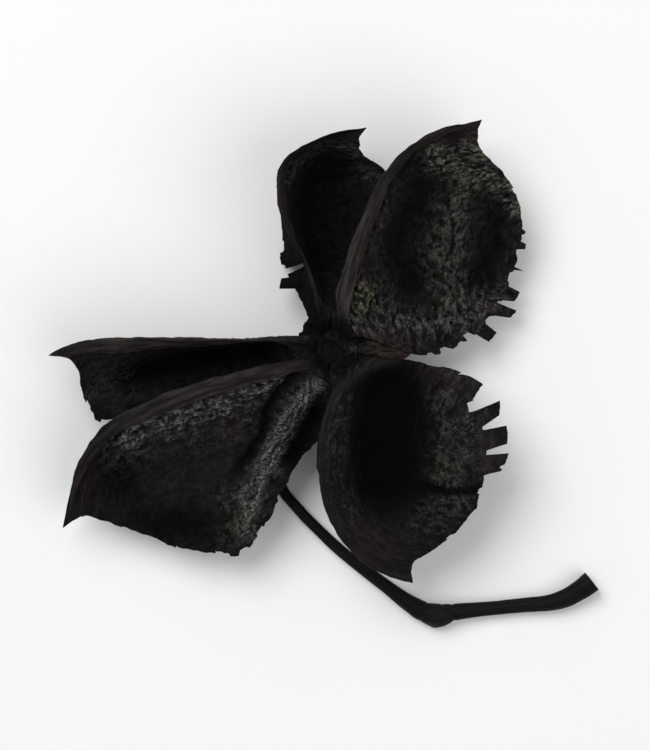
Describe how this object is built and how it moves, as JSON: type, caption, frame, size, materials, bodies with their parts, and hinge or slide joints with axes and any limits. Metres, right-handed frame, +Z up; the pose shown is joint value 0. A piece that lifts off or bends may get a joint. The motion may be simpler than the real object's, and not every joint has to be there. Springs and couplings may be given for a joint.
{
  "type": "cotton boll",
  "caption": "Dried, open and empty cotton boll: keeled woody valves with hooked tips and torn margins, folded back from one receptacle on a thin curved stem.",
  "frame": {"origin": "middle of the footprint's bounding box, on the surface that the boll lies on", "axes": "+Z up, out of the open face; +X towards the stem's free end; +Y towards the tips of the two upper valves"},
  "size_m": [0.0928, 0.0854, 0.0237],
  "materials": {
    "husk": "matte, dyed black, fibrous inside and leathery outside",
    "base": "matte, rough",
    "stem": "matte with fine lengthwise lines"
  },
  "bodies": {
    "root": {"valve_upper_left": "husk", "valve_upper_right": "husk", "valve_left": "husk", "valve_lower_left": "husk", "valve_lower_right": "husk", "receptacle": "base", "stem": "stem"}
  },
  "joints": []
}
